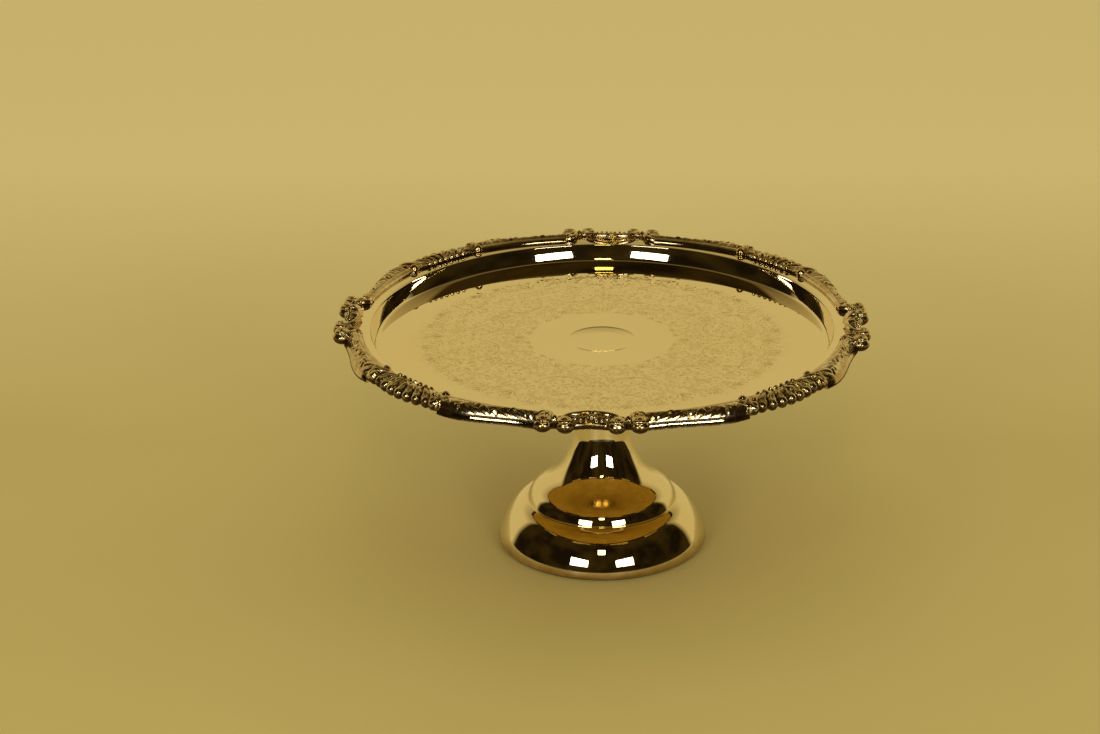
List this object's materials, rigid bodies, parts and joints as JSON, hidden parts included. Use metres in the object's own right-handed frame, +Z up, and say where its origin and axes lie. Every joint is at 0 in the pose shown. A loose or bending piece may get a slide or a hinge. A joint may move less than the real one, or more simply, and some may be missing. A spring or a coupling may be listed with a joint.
{
  "type": "revolving cake stand",
  "caption": "Chased silver-plate tray with a cast scroll and shell border, turning on a ball thrust bearing in the head of a spun trumpet pedestal.",
  "frame": {"origin": "centre of the stand's footprint, on the table", "axes": "+Z up the spindle; +X through the middle of one scroll mount of the border"},
  "size_m": [0.3314, 0.3314, 0.1521],
  "materials": {
    "silver_plate": "polished, worn silver plate with warm tarnish in the recesses",
    "brass": "turned brass",
    "bronze": "oiled bearing bronze",
    "bearing_steel": "ground steel",
    "zinc_steel": "zinc-plated steel",
    "fibre": "red vulcanised fibre",
    "felt": "dark green baize"
  },
  "bodies": {
    "pedestal": {"pedestal_shell": "silver_plate", "felt_ring": "felt", "bearing_housing": "brass", "upper_bush": "bronze", "lower_bush": "bronze", "lower_race": "bearing_steel", "centring_plate": "brass"},
    "tray": {"tray_dish": "silver_plate", "border_scroll_mounts": "silver_plate", "border_shell_mounts": "silver_plate", "border_leaf_rails": "silver_plate", "hub_collar": "silver_plate", "hub_socket": "brass", "upper_race": "bearing_steel", "spindle": "bearing_steel", "thrust_washer": "fibre", "spindle_washer": "zinc_steel", "spindle_nut": "zinc_steel", "split_pin": "zinc_steel"},
    "ball_cage": {"ball_cage": "brass", "bearing_balls": "bearing_steel"}
  },
  "joints": [
    {"name": "tray_spin", "type": "hinge", "parent": "pedestal", "child": "tray", "pos_m": [0, 0, 0.1266], "axis": [0, 0, 1], "continuous": true},
    {"name": "cage_spin", "type": "hinge", "parent": "pedestal", "child": "ball_cage", "pos_m": [0, 0, 0.1266], "axis": [0, 0, 1], "continuous": true}
  ],
  "couplings": [
    {"joint": "cage_spin", "follows": "tray_spin", "ratio": 0.5}
  ]
}
